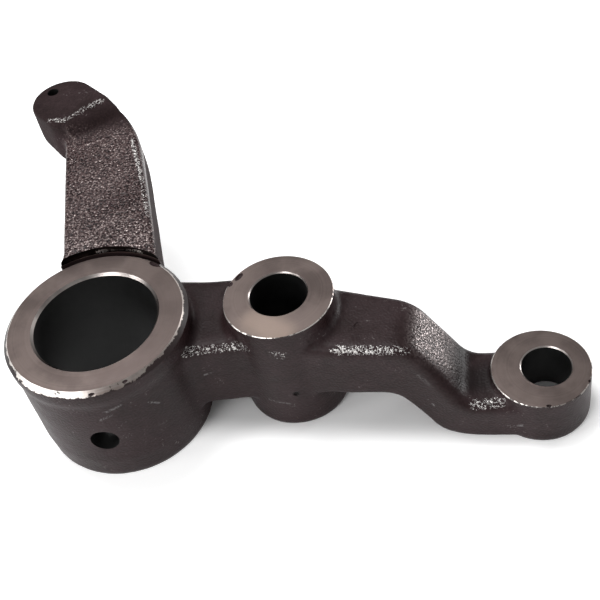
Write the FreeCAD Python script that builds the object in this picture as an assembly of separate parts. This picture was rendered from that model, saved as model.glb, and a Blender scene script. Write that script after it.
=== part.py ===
"""Steering arm: one casting with a king pin hub, a middle boss, a stepped bar and a rear stop arm.

The Z axis is the hub's axis, Z = 0 is the machined foot plane and the X axis runs through the end bore.
Every length is in millimetres and every angle is in degrees.
"""
import FreeCAD
import Part

import math
import os

Vector = FreeCAD.Vector

# Hub that turns on the king pin
HUB_RIM_OD = 82.0
HUB_WALL_OD = 80.4
HUB_FOOT_OD = 78.4
HUB_HEIGHT = 61.0
HUB_RIM_BAND = 7.0
HUB_RIM_EASE = 4.0
HUB_RIM_CHAMFER = 2.2
HUB_BORE = 55.0
HUB_BORE_CHAMFER = 1.6

# Cross hole for the lock pin in the hub's front wall
LOCK_HOLE = 12.5
LOCK_HOLE_Z = 28.0
LOCK_HOLE_ANGLE = -83.9

# Middle boss, cast a little off its bore
MID_BORE_X = 79.1
MID_BORE_Y = 13.1
MID_BORE = 25.0
MID_CAST_SHIFT_Y = -1.1
MID_OD = 48.0
MID_HEIGHT = 60.0

# End lug, cast a little off its bore
END_BORE_X = 190.0
END_BORE = 21.0
END_CAST_SHIFT_X = -2.2
END_CAST_SHIFT_Y = -0.9
END_OD = 42.0
END_HEIGHT = 24.3

# Broken edges of the faces, the bores and the feet
BOSS_RIM_CHAMFER = 0.4
SMALL_BORE_CHAMFER = 0.5
FOOT_CHAMFER = 1.2

# Bar from the hub past the middle boss
BAR_TOP_Z = 50.0
BAR_UNDER_Z = 12.7
BAR_OUTER_UNDER_Z = 20.3
BAR_UNDER_START_X = 68.0
BAR_UNDER_END_X = 100.0
BAR_UNDER_RUN = 26.5
BAR_FRONT_Y = -10.4
BAR_BACK_Y = 36.0
BAR_WAIST_X = 66.0
BAR_WAIST_Y = -7.0
BAR_BACK_WAIST_X = 42.0
BAR_BACK_WAIST_Y = 33.6
BAR_OUTER_X = 107.0
BAR_OUTER_FRONT_Y = -11.5
BAR_OUTER_BACK_Y = 32.2
BAR_NECK_X = 134.0
BAR_NECK_BACK_Y = 18.2
BAR_TOP_ROUND = 4.5
BAR_UNDER_ROUND = 3.0
BAR_SWAY_RADIUS = 45.0

# Step that takes the bar down to the end lug
STEP_TOP_X = 135.5
STEP_FOOT_X = 157.0
STEP_UNDER_RUN = 18.5
STEP_TOP_BEND = 16.0
STEP_FOOT_BEND = 9.0
STEP_UNDER_RADIUS = 14.0
STEP_HEEL_RADIUS = 10.0
STEP_LAG_X = 4.0
STEP_BACK_X = 145.5
STEP_BACK_Y = 15.8

# Low end of the bar
LOW_TOP_Z = 21.8
LOW_UNDER_Z = 0.4
LOW_FRONT_Y = -20.0
LOW_BACK_Y = 12.3

# Blends where walls meet: in the bar's plan, in the rear arm's plan, and where a boss stands on the bar
BAR_BLEND = 10.0
ARM_BLEND = 8.0
COVE_RADIUS = 4.0

# Rear arm, set out along the line from the hub axis to the stop lug, with positive offsets to the left
ARM_ANGLE = 108.4
ARM_RIGHT_ROOT_OFFSET = -31.0
ARM_RIGHT_KNEE_OFFSET = -34.0
ARM_LEFT_ROOT_OFFSET = 15.0
ARM_LEFT_TIP_OFFSET = 2.6
ARM_KNEE_REACH = 122.0
ARM_HEEL_REACH = 150.5
ARM_HEEL_OFFSET = -15.8
ARM_HEEL_RADIUS = 8.0
ARM_FLANK_RADIUS = 70.0
ARM_TOP_RISE = 0.088
ARM_UNDER_RISE = 0.055
ARM_TIP_UNDER_RISE = 0.345
ARM_KNEE_RADIUS = 60.0
ARM_TOP_ROUND = 2.5
ARM_UNDER_ROUND = 2.5

# Stop lug at the rear arm's end
LUG_REACH = 143.5
LUG_OFFSET = 0.5
LUG_OD = 32.6
LUG_TOP_Z = 80.4
PAD_DEPTH = 10.6
LUG_TIP_DEPTH = 13.4
ARM_TOP_DROP = 18.6
ARM_UNDER_DROP = 39.4
PAD_REACH = 19.3
PAD_TURN = 30.0
PAD_CORNER_RADIUS = 9.0
PAD_EDGE_BREAK = 1.0
PAD_COVE_LEFT_END = 12.0
PAD_COVE_LEFT_WIDTH = 4.0
PAD_COVE_RIGHT_WIDTH = 9.5
PAD_COVE_LEFT_SAG = 0.5
PAD_COVE_RIGHT_SAG = 1.4

# Heights of the rear arm and the pad's foot, which hang from the lug's top
ARM_TOP_AXIS_Z = LUG_TOP_Z - ARM_TOP_DROP
ARM_UNDER_AXIS_Z = LUG_TOP_Z - ARM_UNDER_DROP
ARM_TIP_UNDER_Z = LUG_TOP_Z - LUG_TIP_DEPTH
PAD_FOOT_Z = LUG_TOP_Z - PAD_DEPTH

# Small drilled hole near the lug's tip
LUG_HOLE = 6.0
LUG_HOLE_REACH = 151.3
LUG_HOLE_OFFSET = 5.1
LUG_HOLE_DEPTH = 9.0

# Counterbore that clears the hub's face through the rear arm's root
SPOT_CLEARANCE = 0.4

# Room past a face, for cutters and for blanks that are trimmed back
OVERRUN = 20.0

# Places and radii that follow from the sizes above
MID_X = MID_BORE_X
MID_Y = MID_BORE_Y + MID_CAST_SHIFT_Y
END_X = END_BORE_X + END_CAST_SHIFT_X
END_Y = END_CAST_SHIFT_Y
HUB_RIM_RADIUS = HUB_RIM_OD / 2
HUB_WALL_RADIUS = HUB_WALL_OD / 2
MID_RADIUS = MID_OD / 2
END_RADIUS = END_OD / 2
STEP_UNDER_X = BAR_UNDER_END_X + BAR_UNDER_RUN
STEP_UNDER_FOOT_X = STEP_UNDER_X + STEP_UNDER_RUN
LUG_RADIUS = LUG_OD / 2

Z_AXIS = Vector(0, 0, 1)
SHARP = 0.0
LEVEL = 0.3
PLUMB = 0.15


def corner_arc(before, corner, after, radius):
    """Return the start, the middle and the end of the arc that rounds a corner."""
    back = (before - corner).normalize()
    ahead = (after - corner).normalize()
    half_angle = back.getAngle(ahead) / 2
    setback = radius / math.tan(half_angle)
    inward = (back + ahead).normalize()
    middle = corner + inward * (radius / math.sin(half_angle) - radius)
    return corner + back * setback, middle, corner + ahead * setback


def rounded_face(corners):
    """Return a flat face whose corners, given as X, Y and radius, are rounded by tangent arcs."""
    points = [Vector(x, y, 0) for x, y, _ in corners]
    bends = []
    for index, (_, _, radius) in enumerate(corners):
        here = points[index]
        if radius == SHARP:
            bends.append((here, here, here))
        else:
            after = points[(index + 1) % len(points)]
            bends.append(corner_arc(points[index - 1], here, after, radius))
    edges = []
    for index, (start, middle, end) in enumerate(bends):
        if start != end:
            edges.append(Part.Arc(start, middle, end).toShape())
        next_start = bends[(index + 1) % len(bends)][0]
        edges.append(Part.LineSegment(end, next_start).toShape())
    return Part.Face(Part.Wire(edges))


def disc(radius, x, y):
    """Return a flat round face about a point in the XY plane."""
    circle = Part.Circle(Vector(x, y, 0), Z_AXIS, radius)
    return Part.Face(Part.Wire([circle.toShape()]))


def blended_plan(faces, radius):
    """Join flat faces and fill each inner corner of their outline with an arc."""
    plan = faces[0].fuse(faces[1:]).removeSplitter().Faces[0]
    grown = plan.makeOffset2D(radius).Faces[0]
    return grown.makeOffset2D(-radius).Faces[0]


def side_prism(corners, half_width):
    """Extrude an outline given as length, height and radius to both sides of the XZ plane."""
    face = rounded_face(corners)
    face.rotate(Vector(), Vector(1, 0, 0), 90)
    face.translate(Vector(0, half_width, 0))
    return face.extrude(Vector(0, -2 * half_width, 0))


def turned(profile, x, y):
    """Turn a profile given as radius and height about a vertical axis through a point."""
    points = [Vector(radius, 0, height) for radius, height in profile]
    outline = Part.makePolygon(points + points[:1])
    solid = Part.Face(outline).revolve(Vector(), Z_AXIS, 360)
    solid.translate(Vector(x, y, 0))
    return solid


def slope_beside(shape, edge):
    """Return the upward parts of the two face normals beside an edge."""
    middle = edge.valueAt((edge.FirstParameter + edge.LastParameter) / 2)
    rises = []
    for face in shape.ancestorsOfType(edge, Part.Face):
        u, v = face.Surface.parameter(middle)
        rises.append(face.normalAt(u, v).z)
    return rises


def brow_edges(shape, sign):
    """Return the edges where a wall meets the top, for a sign of 1, or the underside, for -1."""
    chosen = []
    for edge in shape.Edges:
        rises = slope_beside(shape, edge)
        walled = min(abs(rise) for rise in rises) < PLUMB
        capped = max(sign * rise for rise in rises) > LEVEL
        if walled and capped:
            chosen.append(edge)
    return chosen


def rounded_brows(shape, top_radius, under_radius):
    """Round the upper and the lower outlines of a cast blank."""
    eased = shape.makeFillet(top_radius, brow_edges(shape, 1)).Solids[0]
    return eased.makeFillet(under_radius, brow_edges(eased, -1)).Solids[0]


def hub_casting():
    """Turn the hub's outside, with its rim band, its straight wall and its drawn-in foot."""
    foot = HUB_FOOT_OD / 2
    band_foot = HUB_HEIGHT - HUB_RIM_BAND
    profile = [
        (0, 0),
        (foot - FOOT_CHAMFER, 0),
        (foot, FOOT_CHAMFER),
        (HUB_WALL_RADIUS, BAR_UNDER_Z),
        (HUB_WALL_RADIUS, band_foot - HUB_RIM_EASE),
        (HUB_RIM_RADIUS, band_foot),
        (HUB_RIM_RADIUS, HUB_HEIGHT - HUB_RIM_CHAMFER),
        (HUB_RIM_RADIUS - HUB_RIM_CHAMFER, HUB_HEIGHT),
        (0, HUB_HEIGHT),
    ]
    return turned(profile, 0, 0)


def mid_boss():
    """Turn the middle boss, which stands above and below the bar."""
    profile = [
        (0, 0),
        (MID_RADIUS - FOOT_CHAMFER, 0),
        (MID_RADIUS, FOOT_CHAMFER),
        (MID_RADIUS, MID_HEIGHT - BOSS_RIM_CHAMFER),
        (MID_RADIUS - BOSS_RIM_CHAMFER, MID_HEIGHT),
        (0, MID_HEIGHT),
    ]
    return turned(profile, MID_X, MID_Y)


def end_lug():
    """Turn the end lug, which stands a little above the bar's low end."""
    profile = [
        (0, 0),
        (END_RADIUS - FOOT_CHAMFER, 0),
        (END_RADIUS, FOOT_CHAMFER),
        (END_RADIUS, END_HEIGHT - BOSS_RIM_CHAMFER),
        (END_RADIUS - BOSS_RIM_CHAMFER, END_HEIGHT),
        (0, END_HEIGHT),
    ]
    return turned(profile, END_X, END_Y)


def bar_plan():
    """Return the bar's outline from above, with the three bosses blended into it."""
    outline = rounded_face([
        (0, BAR_FRONT_Y, SHARP),
        (BAR_WAIST_X / 2, BAR_FRONT_Y, SHARP),
        (BAR_WAIST_X, BAR_WAIST_Y, BAR_SWAY_RADIUS),
        (BAR_OUTER_X, BAR_OUTER_FRONT_Y, BAR_SWAY_RADIUS),
        (STEP_TOP_X, BAR_OUTER_FRONT_Y, BAR_SWAY_RADIUS),
        (STEP_FOOT_X - STEP_LAG_X, LOW_FRONT_Y, BAR_SWAY_RADIUS),
        (END_X, LOW_FRONT_Y, SHARP),
        (END_X, LOW_BACK_Y, SHARP),
        (STEP_FOOT_X + STEP_LAG_X, LOW_BACK_Y, BAR_SWAY_RADIUS / 2),
        (STEP_BACK_X, STEP_BACK_Y, BAR_SWAY_RADIUS / 2),
        (BAR_NECK_X, BAR_NECK_BACK_Y, BAR_SWAY_RADIUS / 2),
        (MID_X, BAR_OUTER_BACK_Y, SHARP),
        (MID_X, BAR_BACK_Y, SHARP),
        (BAR_BACK_WAIST_X, BAR_BACK_WAIST_Y, BAR_SWAY_RADIUS),
        (0, BAR_BACK_Y, SHARP),
    ])
    bosses = [disc(HUB_WALL_RADIUS, 0, 0), disc(MID_RADIUS, MID_X, MID_Y), disc(END_RADIUS, END_X, END_Y)]
    return blended_plan(bosses + [outline], BAR_BLEND)


def bar_blank(plan):
    """Cut the bar's plan to its side view, which steps down to the end lug, and round its edges."""
    near_end = -HUB_RIM_RADIUS - OVERRUN
    far_end = END_X + END_RADIUS + OVERRUN
    side = side_prism([
        (near_end, BAR_TOP_Z, SHARP),
        (STEP_TOP_X, BAR_TOP_Z, STEP_TOP_BEND),
        (STEP_FOOT_X, LOW_TOP_Z, STEP_FOOT_BEND),
        (far_end, LOW_TOP_Z, SHARP),
        (far_end, LOW_UNDER_Z, SHARP),
        (STEP_UNDER_FOOT_X, LOW_UNDER_Z, STEP_HEEL_RADIUS),
        (STEP_UNDER_X, BAR_OUTER_UNDER_Z, STEP_UNDER_RADIUS),
        (BAR_UNDER_END_X, BAR_OUTER_UNDER_Z, STEP_UNDER_RADIUS),
        (BAR_UNDER_START_X, BAR_UNDER_Z, STEP_UNDER_RADIUS),
        (near_end, BAR_UNDER_Z, SHARP),
    ], HUB_RIM_OD)
    blank = plan.extrude(Vector(0, 0, HUB_HEIGHT)).common(side).Solids[0]
    return rounded_brows(blank, BAR_TOP_ROUND, BAR_UNDER_ROUND)


def placed_on_lug(shape):
    """Turn a shape made about the lug's centre to the pad's own direction and move it to the lug."""
    shape.rotate(Vector(), Z_AXIS, PAD_TURN)
    shape.translate(Vector(LUG_REACH, LUG_OFFSET, 0))
    return shape


def pad_plan():
    """Return the lug's outline from above: a round tip with a straight front."""
    front = rounded_face([
        (0, -LUG_RADIUS, SHARP),
        (0, LUG_RADIUS, SHARP),
        (-PAD_REACH, LUG_RADIUS, PAD_CORNER_RADIUS),
        (-PAD_REACH, -LUG_RADIUS, SHARP),
    ])
    return placed_on_lug(front.fuse(disc(LUG_RADIUS, 0, 0)).removeSplitter().Faces[0])


def arm_plan():
    """Return the rear arm's outline from above, along its own line, with its lug and its root blended."""
    outline = rounded_face([
        (0, ARM_RIGHT_ROOT_OFFSET, SHARP),
        (ARM_KNEE_REACH, ARM_RIGHT_KNEE_OFFSET, ARM_FLANK_RADIUS),
        (ARM_HEEL_REACH, ARM_HEEL_OFFSET, ARM_HEEL_RADIUS),
        (LUG_REACH, LUG_OFFSET, SHARP),
        (LUG_REACH - LUG_RADIUS, ARM_LEFT_TIP_OFFSET, SHARP),
        (0, ARM_LEFT_ROOT_OFFSET, SHARP),
    ])
    return blended_plan([disc(HUB_WALL_RADIUS, 0, 0), pad_plan(), outline], ARM_BLEND)


def space_under_arm():
    """Return the space below the rear arm, whose underside rises faster towards the lug."""
    near_end = -HUB_RIM_RADIUS - OVERRUN
    tip_end = LUG_REACH + LUG_RADIUS
    far_end = tip_end + OVERRUN
    gap_at_axis = ARM_UNDER_AXIS_Z - ARM_TIP_UNDER_Z + ARM_TIP_UNDER_RISE * tip_end
    knee_x = gap_at_axis / (ARM_TIP_UNDER_RISE - ARM_UNDER_RISE)
    return side_prism([
        (near_end, ARM_UNDER_AXIS_Z + ARM_UNDER_RISE * near_end, SHARP),
        (knee_x, ARM_UNDER_AXIS_Z + ARM_UNDER_RISE * knee_x, ARM_KNEE_RADIUS),
        (far_end, ARM_TIP_UNDER_Z + ARM_TIP_UNDER_RISE * OVERRUN, SHARP),
        (far_end, -OVERRUN, SHARP),
        (near_end, -OVERRUN, SHARP),
    ], HUB_RIM_OD)


def space_over_arm():
    """Return the space above the rear arm's sloping face."""
    near_end = -HUB_RIM_RADIUS - OVERRUN
    far_end = LUG_REACH + LUG_RADIUS + OVERRUN
    ceiling = LUG_TOP_Z + OVERRUN
    return side_prism([
        (near_end, ceiling, SHARP),
        (far_end, ceiling, SHARP),
        (far_end, ARM_TOP_AXIS_Z + ARM_TOP_RISE * far_end, SHARP),
        (near_end, ARM_TOP_AXIS_Z + ARM_TOP_RISE * near_end, SHARP),
    ], HUB_RIM_OD)


def arm_blank():
    """Cut the rear arm's plan to its side view and round its edges."""
    blank = arm_plan().extrude(Vector(0, 0, LUG_TOP_Z))
    blank = blank.cut(space_under_arm()).cut(space_over_arm()).Solids[0]
    return rounded_brows(blank, ARM_TOP_ROUND, ARM_UNDER_ROUND)


def lug_pad():
    """Raise the lug's pad above the rear arm's face and break its upper edge."""
    plan = pad_plan()
    plan.translate(Vector(0, 0, PAD_FOOT_Z))
    pad = plan.extrude(Vector(0, 0, LUG_TOP_Z - PAD_FOOT_Z)).Solids[0]
    return pad.makeChamfer(PAD_EDGE_BREAK, brow_edges(pad, 1))


def pad_cove_end(offset, width, depth):
    """Return the ramp's section at an offset along the pad's front, with its width and hollow depth."""
    reach = LUG_REACH - (PAD_REACH + width) * math.cos(math.radians(PAD_TURN))
    reach -= offset * math.sin(math.radians(PAD_TURN))
    foot = Vector(-PAD_REACH - width, offset, ARM_TOP_AXIS_Z + ARM_TOP_RISE * reach)
    head = Vector(-PAD_REACH, offset, LUG_TOP_Z - PAD_EDGE_BREAK)
    chord = head - foot
    sag = chord.cross(Vector(0, 1, 0)).normalize() * depth
    hollow = Part.Arc(foot, foot + chord / 2 + sag, head).toShape()
    back_top = Vector(0, offset, head.z)
    back_foot = Vector(0, offset, PAD_FOOT_Z)
    front_foot = Vector(foot.x, offset, PAD_FOOT_Z)
    core = Part.makePolygon([head, back_top, back_foot, front_foot, foot])
    return Part.Wire([hollow] + core.Edges)


def pad_cove():
    """Return the hollow ramp up to the pad's front, narrow at its left end and wide at its right."""
    left = pad_cove_end(PAD_COVE_LEFT_END, PAD_COVE_LEFT_WIDTH, PAD_COVE_LEFT_SAG)
    right = pad_cove_end(-LUG_RADIUS, PAD_COVE_RIGHT_WIDTH, PAD_COVE_RIGHT_SAG)
    return placed_on_lug(Part.makeLoft([left, right], True, True))


def rear_arm():
    """Return the rear arm, its pad and the ramp up to it, turned to the arm's direction."""
    pieces = [arm_blank(), lug_pad(), pad_cove()]
    for piece in pieces:
        piece.rotate(Vector(), Z_AXIS, ARM_ANGLE)
    return pieces


def boss_cove(plan, radius, x, y):
    """Return the hollow blend between a boss and the bar's top, kept inside the bar's rounded brow."""
    foot = Vector(radius + COVE_RADIUS, 0, BAR_TOP_Z)
    head = Vector(radius, 0, BAR_TOP_Z + COVE_RADIUS)
    inset = COVE_RADIUS * (1 - math.sqrt(0.5))
    hollow = Part.Arc(foot, Vector(radius + inset, 0, BAR_TOP_Z + inset), head).toShape()
    base = BAR_TOP_Z - BAR_TOP_ROUND
    core = [head, Vector(0, 0, head.z), Vector(0, 0, base), Vector(foot.x, 0, base), foot]
    outline = Part.Wire([hollow] + Part.makePolygon(core).Edges)
    ring = Part.Face(outline).revolve(Vector(), Z_AXIS, 360)
    ring.translate(Vector(x, y, 0))
    trimmed = plan.makeOffset2D(-BAR_TOP_ROUND).Faces[0]
    return ring.common(trimmed.extrude(Vector(0, 0, HUB_HEIGHT)))


def casting():
    """Join the bosses, the bar and the rear arm into one casting."""
    plan = bar_plan()
    pieces = rear_arm() + [
        mid_boss(),
        end_lug(),
        bar_blank(plan),
        boss_cove(plan, HUB_WALL_RADIUS, 0, 0),
        boss_cove(plan, MID_RADIUS, MID_X, MID_Y),
    ]
    body = hub_casting()
    for piece in pieces:
        body = body.fuse(piece)
    return body.removeSplitter()


def bore_cutter(diameter, height, foot_chamfer, head_chamfer, x, y):
    """Return a cutter for a through bore with a chamfer at each mouth, or a sharp one where it is zero."""
    radius = diameter / 2
    profile = [
        (0, -OVERRUN),
        (radius + foot_chamfer + OVERRUN, -OVERRUN),
        (radius, foot_chamfer),
        (radius, height - head_chamfer),
        (radius + head_chamfer + OVERRUN, height + OVERRUN),
        (0, height + OVERRUN),
    ]
    return turned(profile, x, y)


def spot_cutter():
    """Return the counterbore that clears the hub's face through the rear arm's root."""
    cutter = Part.makeCylinder(HUB_RIM_RADIUS + SPOT_CLEARANCE, LUG_TOP_Z)
    cutter.translate(Vector(0, 0, HUB_HEIGHT))
    return cutter


def lock_hole_cutter():
    """Return the drill for the lock pin's cross hole, which opens into the hub's bore."""
    turn = math.radians(LOCK_HOLE_ANGLE)
    outward = Vector(math.cos(turn), math.sin(turn), 0)
    start = Vector(0, 0, LOCK_HOLE_Z)
    return Part.makeCylinder(LOCK_HOLE / 2, HUB_RIM_RADIUS + OVERRUN, start, outward)


def lug_hole_cutter():
    """Return the drill for the small blind hole in the stop lug's face."""
    drill = Part.makeCylinder(LUG_HOLE / 2, LUG_HOLE_DEPTH + OVERRUN)
    drill.translate(Vector(LUG_HOLE_REACH, LUG_HOLE_OFFSET, LUG_TOP_Z - LUG_HOLE_DEPTH))
    drill.rotate(Vector(), Z_AXIS, ARM_ANGLE)
    return drill


def steering_arm():
    """Machine the casting: the counterbore, the three bores and the two drilled holes."""
    cutters = [
        spot_cutter(),
        bore_cutter(HUB_BORE, HUB_HEIGHT, SHARP, HUB_BORE_CHAMFER, 0, 0),
        bore_cutter(MID_BORE, MID_HEIGHT, SMALL_BORE_CHAMFER, SMALL_BORE_CHAMFER, MID_BORE_X, MID_BORE_Y),
        bore_cutter(END_BORE, END_HEIGHT, SMALL_BORE_CHAMFER, SMALL_BORE_CHAMFER, END_BORE_X, 0),
        lock_hole_cutter(),
        lug_hole_cutter(),
    ]
    return casting().cut(cutters).Solids[0]


def write_step(shape, name):
    """Write a solid to its own STEP file."""
    os.makedirs("parts", exist_ok=True)
    shape.exportStep(os.path.join("parts", name + ".step"))


def main():
    """Build the steering arm, print its facts and write it."""
    arm = steering_arm()
    box = arm.BoundBox
    print("steering_arm valid", arm.isValid(), "solids", len(arm.Solids), "faces", len(arm.Faces))
    print("volume %.0f" % arm.Volume, "size %.1f %.1f %.1f" % (box.XLength, box.YLength, box.ZLength))
    write_step(arm, "steering_arm")


main()
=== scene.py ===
"""Looks of a cast steering arm: a dark sand-cast skin with machined faces, bores and worn edges, and painted
light and shade.

Lengths are in metres, as in the frame. MM, mm and mm_span turn millimetres into them.
"""

import logging
from dataclasses import dataclass
from enum import Enum
from functools import reduce
from math import cos, radians, sin, tau

import bmesh
import bpy
from mathutils import Matrix, Vector

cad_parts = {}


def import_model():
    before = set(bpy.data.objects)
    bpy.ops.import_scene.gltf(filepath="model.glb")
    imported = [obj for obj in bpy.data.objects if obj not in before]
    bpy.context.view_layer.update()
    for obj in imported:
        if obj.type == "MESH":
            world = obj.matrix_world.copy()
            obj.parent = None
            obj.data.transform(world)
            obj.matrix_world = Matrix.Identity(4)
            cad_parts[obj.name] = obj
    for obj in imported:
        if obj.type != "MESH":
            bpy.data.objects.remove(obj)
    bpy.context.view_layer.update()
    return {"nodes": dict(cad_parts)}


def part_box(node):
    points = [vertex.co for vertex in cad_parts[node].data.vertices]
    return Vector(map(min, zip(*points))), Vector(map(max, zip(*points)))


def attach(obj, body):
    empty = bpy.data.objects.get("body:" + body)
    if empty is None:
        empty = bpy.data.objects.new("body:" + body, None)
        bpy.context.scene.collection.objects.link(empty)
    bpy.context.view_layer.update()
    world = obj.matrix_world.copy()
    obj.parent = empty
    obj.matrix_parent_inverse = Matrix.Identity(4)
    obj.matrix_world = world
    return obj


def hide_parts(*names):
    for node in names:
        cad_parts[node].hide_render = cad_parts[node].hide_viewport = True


LOG = logging.getLogger("steering_arm")
NODE = "steering_arm"
MM = 0.001
MERGE_GAP = 0.001 * MM
TURNED_SEGMENTS = 128
DRILLED_SEGMENTS = 64
DENT_SUBDIVISIONS = 2
FULL_STRENGTH_SHARE = 0.2
NOISE_MIDDLE = 0.5

Colour = tuple[float, float, float]
Point = tuple[float, float, float]
Span = tuple[float, float]
Profile = list[tuple[float, float]]

BLACK: Colour = (0.0, 0.0, 0.0)
WHITE: Colour = (1.0, 1.0, 1.0)


def mm(x: float, y: float, z: float) -> Point:
    """A point given in millimetres."""
    return (x * MM, y * MM, z * MM)


def mm_span(first: float, last: float) -> Span:
    """Two lengths given in millimetres."""
    return (first * MM, last * MM)


class Slot(Enum):
    """Material slots of the casting, in the order that they take on its mesh."""

    CAST = "cast_skin"
    MACHINED = "machined_face"
    RIM = "worn_rim"
    CHAMFER = "bore_chamfer"
    BORE = "dark_bore"
    ROOT = "spot_wall"

    @property
    def index(self) -> int:
        """The slot's place on the mesh."""
        return list(Slot).index(self)


@dataclass(frozen=True)
class Mark:
    """A mark along a line, such as a scuffed edge: how far it reaches from the line and how dense it is."""

    name: str
    start: Point
    end: Point
    reach: float
    density: float


# Scuffed edges: worn metal whose bright specks also stand in for the edges' highlights, so they are partly
# painted highlight.
SCUFFS_AND_EDGE_HIGHLIGHTS = (
    Mark("bar_edge_by_hub", mm(36.0, -9.5, 49.3), mm(67.0, -6.5, 49.3), 3.2 * MM, 0.75),
    Mark("bar_edge_by_step", mm(104.0, -10.0, 49.3), mm(138.0, -11.0, 49.3), 3.0 * MM, 1.0),
    Mark("bar_under_mid_face", mm(78.0, -8.5, 50.0), mm(81.0, -9.5, 49.0), 4.5 * MM, 0.45),
    Mark("low_edge", mm(160.0, -17.3, 20.8), mm(170.5, -16.5, 21.2), 3.2 * MM, 0.5),
    Mark("pad_lip_left", mm(-47.5, 118.5, 79.6), mm(-40.0, 117.5, 79.6), 2.0 * MM, 0.9),
    Mark("pad_lip", mm(-40.0, 118.0, 79.6), mm(-24.0, 132.5, 79.6), 2.2 * MM, 0.6),
    Mark("arm_right_edge", mm(-5.0, 110.5, 70.8), mm(5.5, 82.0, 68.2), 1.6 * MM, 1.1),
    Mark("arm_right_edge_low", mm(5.5, 82.0, 68.2), mm(12.5, 60.0, 66.2), 1.6 * MM, 0.6),
    Mark("arm_root_left", mm(-26.0, 44.0, 65.0), mm(-30.0, 58.0, 66.0), 3.0 * MM, 0.35),
)

SCRATCHES = (
    Mark("bar_front_scratch", mm(44.5, -9.3, 33.6), mm(50.5, -9.3, 35.3), 0.8 * MM, 0.9),
    Mark("step_scratch", mm(142.6, -14.6, 18.2), mm(148.4, -14.6, 11.0), 1.1 * MM, 1.0),
    Mark("step_scratch_high", mm(143.4, -14.4, 24.4), mm(145.8, -14.4, 20.4), 0.8 * MM, 0.8),
    Mark("step_ridge", mm(137.5, -13.6, 35.5), mm(156.0, -13.9, 17.3), 1.6 * MM, 0.35),
    Mark("low_front_scratch", mm(172.8, -16.0, 7.4), mm(179.4, -20.2, 9.8), 1.5 * MM, 0.8),
    Mark("hub_wall_scratch", mm(26.0, -30.7, 42.6), mm(29.0, -27.8, 38.4), 0.7 * MM, 1.0),
    Mark("hub_wall_scratch_left", mm(9.5, -39.2, 46.6), mm(16.8, -36.7, 48.4), 1.0 * MM, 0.9),
    Mark("hub_wall_scratch_low", mm(6.0, -39.9, 42.3), mm(12.0, -38.5, 44.2), 0.9 * MM, 0.8),
    Mark("mid_wall_scratch", mm(70.4, -10.4, 16.8), mm(80.0, -12.1, 15.6), 0.9 * MM, 0.6),
)

# Painted shade: dark patches on the low top, at the root and foot of the step's crease, and in the pit by the
# mid boss.
PAINTED_SHADE_MARKS = (
    Mark("low_top_painted_shade", mm(156.0, -5.0, 21.5), mm(168.0, -4.0, 21.5), 12.0 * MM, 0.75),
    Mark("mid_boss_pit", mm(83.6, -11.6, 22.0), mm(83.6, -10.6, 22.0), 2.4 * MM, 1.0),
    Mark("step_root_painted_shade", mm(150.0, -9.0, 27.0), mm(157.0, -9.0, 22.0), 5.0 * MM, 0.5),
    Mark("step_foot_painted_shade", mm(154.0, -8.0, 26.0), mm(155.0, 8.0, 25.0), 7.5 * MM, 0.7),
)

# Painted glints: bright spots along the spot-face wall at the rear arm's root.
ROOT_PAINTED_GLINTS = Mark("root_painted_glints", mm(-8.0, 40.5, 62.4), mm(12.5, 39.5, 62.4), 1.5 * MM, 1.0)
# Painted highlight: a warm, bright patch on the mid boss's face, where its highlight falls.
MID_FACE_HIGHLIGHT = Mark("mid_face_painted_highlight", mm(72.0, -2.0, 60.0), mm(82.0, -9.0, 60.0), 11.0 * MM, 0.8)


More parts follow.
